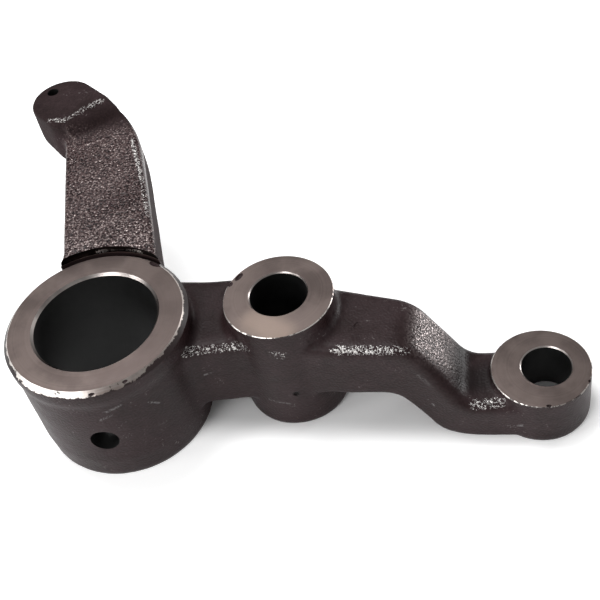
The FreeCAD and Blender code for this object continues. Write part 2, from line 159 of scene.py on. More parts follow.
class Field:
    """A node socket that can be used like a number in sums, in shader and geometry trees alike."""

    def __init__(self, graph: "Graph", socket: bpy.types.NodeSocket) -> None:
        """Wraps a socket.

        Args:
            graph: the tree that the socket is in.
            socket: the output that gives the value.
        """
        self.graph = graph
        self.socket = socket

    def math(self, operation: str, *others: "Field | float", swap: bool = False) -> "Field":
        """Makes one Math node.

        Args:
            operation: the node's operation.
            others: the values after this one.
            swap: whether this value comes second.

        Returns:
            The node's value.
        """
        values = [self, *others]
        if swap:
            values.reverse()
        made = self.graph.node("ShaderNodeMath", {"operation": operation}, dict(enumerate(values)))
        return Field(self.graph, made.outputs[0])

    def __add__(self, other: "Field | float") -> "Field":
        """Sum."""
        return self.math("ADD", other)

    def __radd__(self, other: float) -> "Field":
        """Sum with a number first."""
        return self.math("ADD", other, swap=True)

    def __sub__(self, other: "Field | float") -> "Field":
        """Difference."""
        return self.math("SUBTRACT", other)

    def __rsub__(self, other: float) -> "Field":
        """Difference with a number first."""
        return self.math("SUBTRACT", other, swap=True)

    def __mul__(self, other: "Field | float") -> "Field":
        """Product."""
        return self.math("MULTIPLY", other)

    def __rmul__(self, other: float) -> "Field":
        """Product with a number first."""
        return self.math("MULTIPLY", other, swap=True)

    def __truediv__(self, other: "Field | float") -> "Field":
        """Quotient."""
        return self.math("DIVIDE", other)

    def __rtruediv__(self, other: float) -> "Field":
        """Quotient with a number first."""
        return self.math("DIVIDE", other, swap=True)

    def __pow__(self, other: "Field | float") -> "Field":
        """Power."""
        return self.math("POWER", other)

    def __rpow__(self, other: float) -> "Field":
        """Power with a number first."""
        return self.math("POWER", other, swap=True)

    def or_more(self, other: "Field | float") -> "Field":
        """The higher of two values."""
        return self.math("MAXIMUM", other)

    def or_less(self, other: "Field | float") -> "Field":
        """The lower of two values."""
        return self.math("MINIMUM", other)

    def swing(self, width: float) -> "Field":
        """A noise's swing about its middle, made as wide as this."""
        return (self - NOISE_MIDDLE) * width

    def rise(self, low: float, high: float) -> "Field":
        """A smooth step, which falls where low is the larger value.

        Args:
            low: the value that gives 0.
            high: the value that gives 1.

        Returns:
            0 on low's side, 1 on high's side, and a smooth step between.
        """
        values = {
            "Value": self,
            "From Min": min(low, high),
            "From Max": max(low, high),
            "To Min": float(low > high),
            "To Max": float(low < high),
        }
        made = self.graph.node("ShaderNodeMapRange", {"interpolation_type": "SMOOTHSTEP"}, values)
        return Field(self.graph, made.outputs["Result"])


Value = Field | bpy.types.NodeSocket | bpy.types.Material | float | tuple


@dataclass(frozen=True)
class Noise:
    """A cloudy pattern: its cells in a metre, the octaves above the first and how strong they are."""

    scale: float
    detail: float = 2.0
    roughness: float = 0.5


class Graph:
    """A node tree under construction."""

    def __init__(self, tree: bpy.types.NodeTree) -> None:
        """Works on a tree.

        Args:
            tree: the tree, of a material or of a geometry modifier.
        """
        self.tree = tree

    def node(
        self,
        kind: str,
        settings: dict[str, object] | None = None,
        values: dict[str | int, Value] | None = None,
    ) -> bpy.types.Node:
        """Makes any node.

        Args:
            kind: the node's type.
            settings: its own properties, which are set first.
            values: a value or a link for each socket, under its number, its identifier or its name.

        Returns:
            The new node.
        """
        made = self.tree.nodes.new(kind)
        for name, value in (settings or {}).items():
            setattr(made, name, value)
        for key, value in (values or {}).items():
            if isinstance(key, int):
                target = made.inputs[key]
            else:
                target = next(s for s in made.inputs if s.enabled and key in (s.identifier, s.name))
            self.feed(target, value)
        return made

    def feed(self, target: bpy.types.NodeSocket, value: Value) -> None:
        """Gives an input its value or its link.

        Args:
            target: the input.
            value: what it gets.
        """
        if isinstance(value, Field):
            value = value.socket
        if isinstance(value, bpy.types.NodeSocket):
            self.tree.links.new(value, target)
        elif target.type == "RGBA":
            target.default_value = (*value, 1.0)
        else:
            target.default_value = value

    def vector(
        self, operation: str, first: Value, second: Value, output: str = "Vector"
    ) -> bpy.types.NodeSocket:
        """Makes one Vector Math node.

        Args:
            operation: the node's operation.
            first: a socket or a triple.
            second: a socket or a triple, or what Scale multiplies by.
            output: the output to take.

        Returns:
            The output's socket.
        """
        second_key = "Scale" if operation == "SCALE" else 1
        made = self.node("ShaderNodeVectorMath", {"operation": operation}, {0: first, second_key: second})
        return made.outputs[output]


class Paint(Graph):
    """One material under construction."""

    def __init__(self, name: str) -> None:
        """Starts a material with one Principled BSDF.

        Args:
            name: the material's name.
        """
        self.material = bpy.data.materials.new(name)
        self.material.use_nodes = True
        super().__init__(self.material.node_tree)
        self.shader = self.tree.nodes["Principled BSDF"]
        self.place = self.node("ShaderNodeTexCoord").outputs["Object"]
        split = self.node("ShaderNodeSeparateXYZ", values={"Vector": self.place})
        self.x, self.y, self.z = (Field(self, split.outputs[axis]) for axis in "XYZ")

    def shade(self, name: str, value: Value) -> None:
        """Gives one input of the shader its value or its link."""
        self.feed(self.shader.inputs[name], value)

    def noise(self, pattern: Noise, along: Field | None = None) -> Field:
        """Cloudy noise on the object's coordinates, or along one value.

        Args:
            pattern: how fine and how rough it is.
            along: the one value that it follows instead of the coordinates.

        Returns:
            A value around NOISE_MIDDLE.
        """
        values = {"Scale": pattern.scale, "Detail": pattern.detail, "Roughness": pattern.roughness}
        dimensions = {"noise_dimensions": "1D" if along else "3D"}
        values |= {"W": along} if along else {"Vector": self.place}
        return Field(self, self.node("ShaderNodeTexNoise", dimensions, values).outputs["Fac"])

    def blend(self, share: Field, low: Value, high: Value) -> bpy.types.NodeSocket:
        """Mixes two colours.

        Args:
            share: 0 for low, 1 for high.
            low: a colour or a socket.
            high: a colour or a socket.

        Returns:
            The mixed colour's socket.
        """
        values = {"Factor_Float": share, "A_Color": low, "B_Color": high}
        made = self.node("ShaderNodeMix", {"data_type": "RGBA"}, values)
        return next(s for s in made.outputs if s.identifier == "Result_Color")

    def away(self, start: Point, end: Point, label: str) -> Field:
        """How far the surface is from a line.

        Args:
            start: one end of the line.
            end: its other end.
            label: what the line is, for the node's label.

        Returns:
            The distance in metres.
        """
        run = Vector(end) - Vector(start)
        offset = self.vector("SUBTRACT", self.place, start)
        along = Field(self, self.vector("DOT_PRODUCT", offset, tuple(run / run.length_squared), "Value"))
        foot = self.vector("SCALE", tuple(run), along.or_more(0.0).or_less(1.0))
        foot.node.label = label
        return Field(self, self.vector("DISTANCE", offset, foot, "Value"))

    def beside(self, mark: Mark) -> Field:
        """How near the surface is to a mark's line: 1 close to it, falling to 0 at its reach."""
        distance = self.away(mark.start, mark.end, mark.name)
        return distance.rise(mark.reach, mark.reach * FULL_STRENGTH_SHARE)

    def marked(self, marks: tuple[Mark, ...]) -> Field:
        """How strongly the surface is marked, as the highest of the marks' densities there."""
        return reduce(Field.or_more, [self.beside(mark) * mark.density for mark in marks])

    def from_rim(self) -> Field:
        """The distance out from the rim of the nearest boss, below 0 on its face."""
        return reduce(Field.or_less, [boss.distance(self.x, self.y) - boss.rim for boss in BOSSES])

    def bump(self, height: Field, distance: float) -> None:
        """Roughens the surface.

        Args:
            height: the height field, about 0 to 1.
            distance: what 1 stands for, in metres.
        """
        made = self.node("ShaderNodeBump", values={"Height": height, "Distance": distance, "Strength": 1.0})
        self.shade("Normal", made.outputs["Normal"])


@dataclass(frozen=True)
class Shares:
    """How much of each pattern, and of each part of the skin, goes into a sum."""

    plain: float = 0.0
    cloud: float = 0.0
    patch: float = 0.0
    grain: float = 0.0
    grit: float = 0.0
    fine: float = 0.0
    arm: float = 0.0
    root: float = 0.0
    sandy: float = 0.0
    step: float = 0.0
    edge_wear_and_highlight: float = 0.0

    def of(self, fields: dict[str, Field]) -> Field:
        """Adds up the fields by their shares.

        Args:
            fields: the patterns and the parts of the skin, by name.

        Returns:
            The sum, with the plain share added.
        """
        terms = [fields[name] * share for name, share in vars(self).items() if share and name != "plain"]
        return sum(terms, self.plain)


@dataclass(frozen=True)
class Layer:
    """Where a layer shows: a sum of patterns, and the values between which the layer comes in."""

    shares: Shares
    span: Span

    def of(self, fields: dict[str, Field]) -> Field:
        """How much of the layer shows, from 0 to 1."""
        return self.shares.of(fields).rise(*self.span)


@dataclass(frozen=True)
class CastFinish:
    """The dark, oiled, sand-cast skin, sandy on the rear arm's face and worn bright along its scuffs, whose
    bright specks partly stand in for edge highlights; painted glints, a partly painted highlight on the step
    and painted shade lie over it.
    """

    dark: Colour = (0.0165, 0.0080, 0.0084)
    light: Colour = (0.0300, 0.0175, 0.0190)
    sand: Colour = (0.112, 0.072, 0.070)
    # Colour of the metal-like scale on the step face, which is partly a painted highlight.
    scale: Colour = (0.430, 0.370, 0.360)
    # Colour of the painted glints.
    glint: Colour = (0.500, 0.430, 0.410)
    scratch: Colour = (0.150, 0.140, 0.140)
    # Colour of the grain's hollows, also used for the painted shade.
    pit: Colour = (0.005, 0.003, 0.003)
    # Bright metal colour of the worn specks, also used for the painted stray glints.
    metal: Colour = (0.78, 0.76, 0.74)
    specular: float = 0.16

    # Patterns, from the widest clouds to the finest specks
    cloud: Noise = Noise(38.0, 3.0)
    patch: Noise = Noise(170.0)
    grain: Noise = Noise(1000.0, 0.5)
    grit: Noise = Noise(2100.0, 1.0)
    fine: Noise = Noise(3000.0, 1.0)

    # Parts of the skin: the way that the rear arm runs, and the lengths between which each part comes in
    arm_turn: float = radians(108.4)
    sandy_from: Span = mm_span(20.0, 27.0)
    sandy_to: Span = mm_span(124.0, 112.0)
    sandy_above: Span = mm_span(62.0, 64.0)
    root_from: Span = mm_span(80.0, 25.0)
    step_from: Span = mm_span(131.0, 141.0)
    step_to: Span = mm_span(156.0, 144.0)
    step_front: Span = mm_span(-13.0, -4.0)
    step_back: Span = mm_span(17.0, 13.0)

    # Layers over the plain skin: the pattern of each, and how much of it shows where
    tone: Layer = Layer(Shares(cloud=0.6, patch=0.4), (0.38, 0.62))
    ridges: Layer = Layer(Shares(cloud=0.2, grain=0.7, grit=0.3), (0.46, 0.76))
    ridges_on: Shares = Shares(plain=0.06, sandy=0.75)
    hollows: Layer = Layer(Shares(grain=1.0), (0.44, 0.32))
    hollows_on: Shares = Shares(plain=0.1, sandy=0.55, step=0.6)
    # Painted glints: bright, half-metallic specks on the rear arm's sandy face, denser near its root, that
    # stand in for highlights on the grain.
    glints: Layer = Layer(Shares(cloud=0.16, grain=0.4, grit=0.6, root=0.045), (0.665, 0.765))
    glint_cover: float = 0.85
    glint_metal: float = 0.5
    # Metal-like scale on the step face, laid where the step's highlight falls: partly a painted highlight,
    # partly real reflection from its metallic share.
    scales: Layer = Layer(Shares(grain=0.4, grit=0.6), (0.38, 0.62))
    scales_on: Shares = Shares(step=0.55)
    scratched: Layer = Layer(Shares(grain=0.5, grit=0.5), (0.40, 0.56))
    # Bright specks along the scuffs: partly worn metal, partly painted edge highlight.
    specks: Layer = Layer(Shares(grain=0.4, fine=0.6, edge_wear_and_highlight=0.09), (0.60, 0.65))
    speck_edge: Span = (0.02, 0.2)
    speck_metal: float = 0.5
    # Painted glints: sparse bright specks all over the skin that stand in for small highlights.
    strays: Layer = Layer(Shares(cloud=0.15, patch=0.4, grain=0.3, fine=0.3), (0.71, 0.755))
    stray_cover: float = 0.12

    # The surface: how dull it is and how deep its grain
    roughness: Shares = Shares(plain=0.24, cloud=0.2, patch=0.2, arm=0.34, sandy=-0.52, step=-0.22)
    relief: Shares = Shares(grain=0.9, grit=0.1)
    relief_on: Shares = Shares(plain=0.36, sandy=0.75, step=0.5, edge_wear_and_highlight=0.3)
    relief_depth: float = 0.5 * MM

    def fields(self, paint: Paint) -> dict[str, Field]:
        """The patterns and the parts of the skin.

        Args:
            paint: the material under construction.

        Returns:
            Each as a field, under the name that Shares has for it.
        """
        reach = paint.x * cos(self.arm_turn) + paint.y * sin(self.arm_turn)
        arm = reach.rise(*self.sandy_from)
        step = paint.x.rise(*self.step_from) * paint.x.rise(*self.step_to)
        return {
            "cloud": paint.noise(self.cloud),
            "patch": paint.noise(self.patch),
            "grain": paint.noise(self.grain),
            "grit": paint.noise(self.grit),
            "fine": paint.noise(self.fine),
            "arm": arm,
            "root": reach.rise(*self.root_from),
            "sandy": arm * reach.rise(*self.sandy_to) * paint.z.rise(*self.sandy_above),
            "step": step * paint.y.rise(*self.step_front) * paint.y.rise(*self.step_back),
            "edge_wear_and_highlight": paint.marked(SCUFFS_AND_EDGE_HIGHLIGHTS),
        }

    def material(self, name: str) -> bpy.types.Material:
        """Makes the material.

        Args:
            name: its name.

        Returns:
            The material.
        """
        paint = Paint(name)
        fields = self.fields(paint)
        glint = self.glints.of(fields) * fields["sandy"]
        scale = self.scales.of(fields) * self.scales_on.of(fields)
        speck = self.specks.of(fields) * fields["edge_wear_and_highlight"].rise(*self.speck_edge)

        base = paint.blend(self.tone.of(fields), self.dark, self.light)
        base = paint.blend(self.ridges.of(fields) * self.ridges_on.of(fields), base, self.sand)
        base = paint.blend(self.hollows.of(fields) * self.hollows_on.of(fields), base, self.pit)
        # Painted shade along its marks, in the pit colour.
        base = paint.blend(paint.marked(PAINTED_SHADE_MARKS), base, self.pit)
        # Painted glints on the sandy arm face.
        base = paint.blend(glint * self.glint_cover, base, self.glint)
        # Partly painted highlight on the step face.
        base = paint.blend(scale, base, self.scale)
        base = paint.blend(paint.marked(SCRATCHES) * self.scratched.of(fields), base, self.scratch)
        # Painted stray glints.
        base = paint.blend(self.strays.of(fields) * self.stray_cover, base, self.metal)
        # Partly painted edge highlight: bright specks along the scuffs.
        base = paint.blend(speck, base, self.metal)

        paint.shade("Base Color", base)
        paint.shade("Metallic", scale.or_more(glint * self.glint_metal).or_more(speck * self.speck_metal))
        paint.shade("Roughness", self.roughness.of(fields))
        paint.shade("Specular IOR Level", self.specular)
        paint.bump(self.relief.of(fields) * self.relief_on.of(fields), self.relief_depth)
        return paint.material


@dataclass(frozen=True)
class MachinedFinish:
    """A flat face, chamfer or bore that was cut on a machine and then blackened a little."""

    base: Colour = (0.185, 0.148, 0.136)
    # Darker colour of the stains, also used for the painted shade on the hub's right side.
    stain: Colour = (0.128, 0.101, 0.094)
    spots: Colour = (0.012, 0.008, 0.008)
    # Colour of the painted highlight patch.
    polished: Colour = (0.300, 0.235, 0.200)
    roughness: float = 0.38
    roughness_swing: float = 0.2

    # Patterns: clouds and chips on the surface, rings and turned marks along the way out from the bore
    cloud: Noise = Noise(60.0, 4.0, 0.6)
    rings: Noise = Noise(3000.0)
    marks: Noise = Noise(900.0, 1.0)
    chips: Noise = Noise(260.0, 4.0, 0.7)
    ring_depth: float = 0.03 * MM

    # Where the metal is bright or spotted, where painted shade darkens it, and where a patch is a painted
    # highlight
    cloud_span: Span = (0.35, 0.62)
    cloud_share: float = 0.75
    mark_span: Span = (0.35, 0.65)
    mark_share: float = 0.25
    # Painted shade: on the hub's right side, from X 5 to 56 mm, the colour is pulled towards the stain
    # colour.
    dull_from: Span = mm_span(5.0, 34.0)
    dull_to: Span = mm_span(56.0, 48.0)
    dull_share: float = 0.6
    spots_from: float = 1.0
    spots_edge: float = 0.03
    spots_by: Mark | None = None
    polish: Mark | None = None

    def covered(self, paint: Paint, base: bpy.types.NodeSocket, chip: Field) -> bpy.types.NodeSocket:
        """Leaves the metal bare, as it is on every face but the rims."""
        paint.shade("Metallic", 1.0)
        return base

    def material(self, name: str) -> bpy.types.Material:
        """Makes the material.

        Args:
            name: its name.

        Returns:
            The material.
        """
        paint = Paint(name)
        out = paint.from_rim()
        cloud = paint.noise(self.cloud)
        chip = paint.noise(self.chips)
        marks = paint.noise(self.marks, along=out)
        bright = cloud.rise(*self.cloud_span) * self.cloud_share
        bright = bright + marks.rise(*self.mark_span) * self.mark_share
        # Painted shade on the hub's right side.
        hub_right_shade = paint.x.rise(*self.dull_from) * paint.x.rise(*self.dull_to)
        base = paint.blend(bright * (1.0 - hub_right_shade * self.dull_share), self.stain, self.base)
        # Painted highlight on the face.
        if self.polish:
            base = paint.blend(paint.marked((self.polish,)), base, self.polished)
        spots = chip.rise(self.spots_from, self.spots_from + self.spots_edge)
        if self.spots_by:
            spots = spots * paint.beside(self.spots_by)
        base = paint.blend(spots, base, self.spots)
        paint.shade("Base Color", self.covered(paint, base, chip))
        paint.shade("Roughness", self.roughness + cloud.swing(self.roughness_swing))
        paint.bump(paint.noise(self.rings, along=out), self.ring_depth)
        return paint.material


@dataclass(frozen=True)
class RimFinish(MachinedFinish):
    """The chamfer round a face, bright where it is bare, with a ragged edge of cast skin over it."""

    skin: Colour = (0.020, 0.012, 0.012)
    skin_specular: float = 0.3
    edge: Span = (0.20, 0.30)
    edge_swing: float = 1.5
    worn_front: Span = mm_span(-24.0, -34.0)
    worn_share: float = 0.60
    hub_side: Span = mm_span(55.0, 45.0)
    small_side: Span = mm_span(50.0, 52.0)
    small_span: Span = (0.50, 0.53)
    small_share: float = 0.85

    def covered(self, paint: Paint, base: bpy.types.NodeSocket, chip: Field) -> bpy.types.NodeSocket:
        """Lays cast skin over the chamfer, in from the outside on the hub and in patches on the others.

        Args:
            paint: the material under construction.
            base: the colour of the bare metal.
            chip: the pattern that makes the skin's edge ragged.

        Returns:
            The colour of the whole.
        """
        out = paint.from_rim() / HUB.rim_chamfer + 1.0
        worn = paint.y.rise(*self.worn_front) * self.worn_share
        on_hub = (out + chip.swing(self.edge_swing) - worn).rise(*self.edge) * paint.x.rise(*self.hub_side)
        on_small = chip.rise(*self.small_span) * paint.x.rise(*self.small_side) * self.small_share
        skin = on_hub.or_more(on_small)
        paint.shade("Metallic", 1.0 - skin)
        paint.shade("Specular IOR Level", self.skin_specular)
        return paint.blend(skin, base, self.skin)


def shown(name: str, data: bpy.types.ID) -> bpy.types.Object:
    """Puts a new object in the scene, at the origin.

    Args:
        name: the object's name.
        data: its mesh, lamp or camera.

    Returns:
        The object.
    """
    made = bpy.data.objects.new(name, data)
    bpy.context.scene.collection.objects.link(made)
    return made


def mesh_of(name: str, shape: bmesh.types.BMesh) -> bpy.types.Mesh:
    """Writes a shape to a new mesh and frees the shape.

    Args:
        name: the mesh's name.
        shape: the shape.

    Returns:
        The mesh.
    """
    mesh = bpy.data.meshes.new(name)
    shape.to_mesh(mesh)
    shape.free()
    return mesh


def turned(name: str, profile: Profile, place: Span) -> bpy.types.Mesh:
    """A solid turned about an upright axis.

    Args:
        name: the mesh's name.
        profile: radius and height of each corner, from the axis at the foot up to the axis at the top,
            or once round a ring's section with its first corner again at the end.
        place: X and Y of the axis.

    Returns:
        The closed mesh.
    """
    points, faces, rings = [], [], []
    ring_shaped = profile[0] == profile[-1]
    for radius, height in profile[:-1] if ring_shaped else profile:
        steps = TURNED_SEGMENTS if radius else 1
        first = len(points)
        for step in range(steps):
            angle = tau * step / steps
            points.append((place[0] + radius * cos(angle), place[1] + radius * sin(angle), height))
        rings.append([first + step % steps for step in range(TURNED_SEGMENTS)])
    if ring_shaped:
        rings.append(rings[0])
    for low, high in zip(rings, rings[1:]):
        for step in range(TURNED_SEGMENTS):
            after = (step + 1) % TURNED_SEGMENTS
            corners = (low[step], low[after], high[after], high[step])
            faces.append(tuple(dict.fromkeys(corners)))
    mesh = bpy.data.meshes.new(name)
    mesh.from_pydata(points, [], faces)
    return mesh


def block(name: str, low: Vector, high: Vector) -> bpy.types.Mesh:
    """A plain box.

    Args:
        name: the mesh's name.
        low: its lowest corner.
        high: its highest corner.

    Returns:
        The closed mesh.
    """
    shape = bmesh.new()
    span = high - low
    matrix = Matrix.Translation((low + high) / 2) @ Matrix.Diagonal((*span, 1.0))
    bmesh.ops.create_cube(shape, size=1.0, matrix=matrix)
    return mesh_of(name, shape)


def rod(name: str, start: Vector, end: Vector, radius: float) -> bpy.types.Mesh:
    """A round rod between two points.

    Args:
        name: the mesh's name.
        start: one end of its axis.
        end: the other end.
        radius: its radius.

    Returns:
        The closed mesh.
    """
    shape = bmesh.new()
    run = end - start
    bmesh.ops.create_cone(
        shape,
        cap_ends=True,
        segments=DRILLED_SEGMENTS,
        radius1=radius,
        radius2=radius,
        depth=run.length,
        matrix=Matrix.Translation((start + end) / 2) @ run.to_track_quat("Z", "Y").to_matrix().to_4x4(),
    )
    return mesh_of(name, shape)


@dataclass(frozen=True)
class Skin:
    """Sizes of the work on the cast skin.

    The sinks lie above the middle of the noises, so that the skin stays inside the CAD's box.
    """

    voxel: float = 0.9 * MM
    stock: float = 3.0 * MM
    sink: float = 0.35 * MM
    spot_gap: float = 0.4 * MM
    face_gap: float = 0.28 * MM
    rim_gap: float = 0.16 * MM
    overrun: float = 20.0 * MM
    sharp_angle: float = 0.6
    smooth_passes: int = 3
    wave_scale: float = 90.0
    wave_sink: float = 0.70
    wave_depth: float = 0.30 * MM
    pit_scale: float = 420.0
    pit_sink: float = 0.64
    pit_depth: float = 0.10 * MM
    seed: int = 0

    def inputs(self, finish: bpy.types.Material) -> dict[str, Value]:
        """The values for the skin tree's inputs.

        Args:
            finish: the cast skin's material.

        Returns:
            Each value under the input's name.
        """
        return {
            "Smooth passes": self.smooth_passes,
            "Wave scale": self.wave_scale,
            "Wave sink": self.wave_sink,
            "Wave depth": self.wave_depth,
            "Pit scale": self.pit_scale,
            "Pit sink": self.pit_sink,
            "Pit depth": self.pit_depth,
            "Seed": self.seed,
            "Finish": finish,
        }


class SkinTree(Graph):
    """The geometry tree that softens the skin and gives it the waves and pits of a sand mould."""

    SOCKETS = {int: "NodeSocketInt", float: "NodeSocketFloat", bpy.types.Material: "NodeSocketMaterial"}

    def __init__(self, inputs: dict[str, Value]) -> None:
        """Builds the tree.

        Args:
            inputs: a value for each input, whose type the input takes.
        """
        super().__init__(bpy.data.node_groups.new("sand_cast_skin", "GeometryNodeTree"))
        interface = self.tree.interface
        interface.new_socket("Geometry", in_out="INPUT", socket_type="NodeSocketGeometry")
        interface.new_socket("Geometry", in_out="OUTPUT", socket_type="NodeSocketGeometry")
        for name, value in inputs.items():
            interface.new_socket(name, in_out="INPUT", socket_type=self.SOCKETS[type(value)])
        self.inputs = self.node("NodeGroupInput").outputs
        self.place = self.node("GeometryNodeInputPosition").outputs[0]
        self.build()

    def input(self, name: str) -> Field:
        """One of the tree's own inputs."""
        return Field(self, self.inputs[name])

    def smoothed(self) -> bpy.types.NodeSocket:
        """Averages the place of each vertex with its neighbours'.

        Returns:
            The new places.
        """
        values = {"Value": self.place, "Iterations": self.input("Smooth passes")}
        made = self.node("GeometryNodeBlurAttribute", {"data_type": "FLOAT_VECTOR"}, values)
        return next(s for s in made.outputs if s.enabled)

    def relief(self, layer: str) -> Field:
        """How far one layer of noise lifts the skin. The seed moves the noise along, one metre for each step.

        Args:
            layer: the word that the names of its inputs start with.

        Returns:
            The lift in metres, mostly below 0.
        """
        moved = self.vector("ADD", self.place, self.input("Seed"))
        values = {"Vector": moved, "Scale": self.input(layer + " scale")}
        noise = Field(self, self.node("ShaderNodeTexNoise", values=values).outputs[0])
        return (noise - self.input(layer + " sink")) * self.input(layer + " depth")

    def build(self) -> None:
        """Lays the nodes from the tree's input to its output."""
        normal = self.node("GeometryNodeInputNormal").outputs[0]
        push = self.vector("SCALE", normal, self.relief("Wave") + self.relief("Pit"))
        values = {"Geometry": self.input("Geometry"), "Position": self.smoothed()}
        soft = self.node("GeometryNodeSetPosition", values=values)
        rough = self.node("GeometryNodeSetPosition", values={"Geometry": soft.outputs[0], "Offset": push})
        real = self.node("GeometryNodeRealizeInstances", values={"Geometry": rough.outputs[0]})
        values = {"Geometry": real.outputs[0], "Material": self.input("Finish")}
        dressed = self.node("GeometryNodeSetMaterial", values=values)
        self.node("NodeGroupOutput", values={0: dressed.outputs[0]})


class Workpiece:
    """The casting while it is worked on: one object whose mesh each step replaces."""

    def __init__(self, name: str, mesh: bpy.types.Mesh) -> None:
        """Starts from a mesh.

        Args:
            name: the object's name.
            mesh: the shape to start from, whose slots are emptied and whose doubles are merged.
        """
        self.object = shown(name, mesh)
        mesh.materials.clear()
        shape = bmesh.new()
        shape.from_mesh(mesh)
        bmesh.ops.remove_doubles(shape, verts=shape.verts, dist=MERGE_GAP)
        shape.to_mesh(mesh)
        shape.free()

    def add(self, mesh: bpy.types.Mesh) -> None:
        """Adds more metal, which the next remesh melts in.

        Args:
            mesh: a closed mesh.
        """
        shape = bmesh.new()
        shape.from_mesh(self.object.data)
        shape.from_mesh(mesh)
        shape.to_mesh(self.object.data)
        shape.free()

    def bake(self) -> None:
        """Turns the live modifiers into mesh."""
        graph = bpy.context.evaluated_depsgraph_get()
        baked = bpy.data.meshes.new_from_object(self.object.evaluated_get(graph))
        self.object.modifiers.clear()
        self.object.data = baked

    def remesh(self, voxel: float) -> None:
        """Melts the metal into one even skin.

        Args:
            voxel: the skin's cell, in metres.
        """
        modifier = self.object.modifiers.new("melt", "REMESH")
        modifier.mode = "VOXEL"
        modifier.voxel_size = voxel
        self.bake()

    def shape_by(self, tree: bpy.types.NodeTree, inputs: dict[str, Value]) -> None:
        """Runs a geometry tree on the mesh.

        Args:
            tree: the tree.
            inputs: the values for its inputs, by name.
        """
        modifier = self.object.modifiers.new("skin", "NODES")
        modifier.node_group = tree
        for socket in tree.interface.items_tree:
            if socket.in_out == "INPUT" and socket.name in inputs:
                modifier[socket.identifier] = inputs[socket.name]
        self.bake()

    def dress(self, finishes: list[bpy.types.Material]) -> None:
        """Gives the mesh its material slots.

        Args:
            finishes: a material for each slot, in their order.
        """
        self.object.data.materials.clear()
        for finish in finishes:
            self.object.data.materials.append(finish)

    def cut(self, mesh: bpy.types.Mesh, slot: Slot) -> None:
        """Takes a cutter's shape out of the casting.

        Args:
            mesh: the cutter, a closed mesh.
            slot: the material of the fresh surface.
        """
        for finish in self.object.data.materials:
            mesh.materials.append(finish)
        mesh.polygons.foreach_set("material_index", [slot.index] * len(mesh.polygons))
        cutter = shown("cutter", mesh)
        modifier = self.object.modifiers.new("cut", "BOOLEAN")
        modifier.operation = "DIFFERENCE"
        modifier.solver = "MANIFOLD"
        modifier.object = cutter
        self.bake()
        bpy.data.objects.remove(cutter)


@dataclass(frozen=True)
class Boss:
    """One bored boss: where it and its bore stand, and the sizes of what is cut on it."""

    name: str
    place: Span
    bore_place: Span
    top: float
    rim: float
    rim_chamfer: float
    bore: float
    bore_chamfer: float
    foot: float
    foot_chamfer: float
    foot_mouth: float

    def distance(self, x: Field, y: Field) -> Field:
        """The distance from the bore's axis of the point at these coordinates."""
        return ((x - self.bore_place[0]) ** 2.0 + (y - self.bore_place[1]) ** 2.0) ** 0.5

    def barrel(self, tool: str, radius: float, foot: float, head: float, place: Span) -> bpy.types.Mesh:
        """A plain upright cylinder.

        Args:
            tool: the word for it in the mesh's name.
            radius: its radius.
            foot: the height of its foot.
            head: the height of its top.
            place: X and Y of its axis.

        Returns:
            The closed mesh.
        """
        return turned(self.name + tool, [(0.0, foot), (radius, foot), (radius, head), (0.0, head)], place)

    def stock(self, skin: Skin) -> bpy.types.Mesh:
        """The extra metal before the boss is machined: its bore filled and its faces raised.

        Args:
            skin: sizes of the work.

        Returns:
            The closed mesh.
        """
        shoulder = self.top - self.rim_chamfer - skin.stock / 2
        sole = self.foot - self.foot_chamfer
        core = self.bore + skin.stock
        profile = [
            (0.0, -skin.stock),
            (sole, -skin.stock),
            (sole, skin.stock),
            (core, skin.stock),
            (core, shoulder),
            (self.rim, shoulder),
            (self.rim, self.top + skin.stock),
            (0.0, self.top + skin.stock),
        ]
        return turned(self.name + "_stock", profile, self.place)

    def rim_sweep(self, skin: Skin) -> bpy.types.Mesh:
        """The chamfering tool's sweep round the rim.

        Args:
            skin: sizes of the work.

        Returns:
            The closed mesh.
        """
        head = self.top + skin.overrun
        outside = self.rim + skin.rim_gap
        inside = self.rim - self.rim_chamfer
        profile = [
            (outside, self.top - self.rim_chamfer - skin.rim_gap),
            (outside, head),
            (inside, head),
            (inside, self.top),
            (outside, self.top - self.rim_chamfer - skin.rim_gap),
        ]
        return turned(self.name + "_rim", profile, self.place)

    def mouth_sweep(self, skin: Skin) -> bpy.types.Mesh:
        """The chamfering tool's sweep at both mouths of the bore, joined by a thinner rod.

        Args:
            skin: sizes of the work.

        Returns:
            The closed mesh.
        """
        neck = self.bore - skin.sink
        head = self.top + skin.overrun
        profile = [
            (0.0, -skin.overrun),
            (self.bore + self.foot_mouth + skin.overrun, -skin.overrun),
            (neck, self.foot_mouth + skin.sink),
            (neck, self.top - self.bore_chamfer - skin.sink),
            (self.bore + self.bore_chamfer + skin.overrun, head),
            (0.0, head),
        ]
        return turned(self.name + "_mouths", profile, self.bore_place)

    def sweeps(self, skin: Skin) -> list[tuple[bpy.types.Mesh, Slot]]:
        """The tools' sweeps in the order of the work.

        Args:
            skin: sizes of the work.

        Returns:
            Each sweep's closed mesh, with the finish that it leaves.
        """
        head = self.top + skin.overrun
        spot = self.barrel("_spot", self.rim + skin.spot_gap, self.top + skin.sink, head, self.place)
        face = self.barrel("_face", self.rim + skin.face_gap, self.top, head, self.place)
        bore = self.barrel("_bore", self.bore, -skin.overrun, head, self.bore_place)
        return [
            (spot, Slot.ROOT),
            (face, Slot.MACHINED),
            (self.rim_sweep(skin), Slot.RIM),
            (self.mouth_sweep(skin), Slot.CHAMFER),
            (bore, Slot.BORE),
        ]


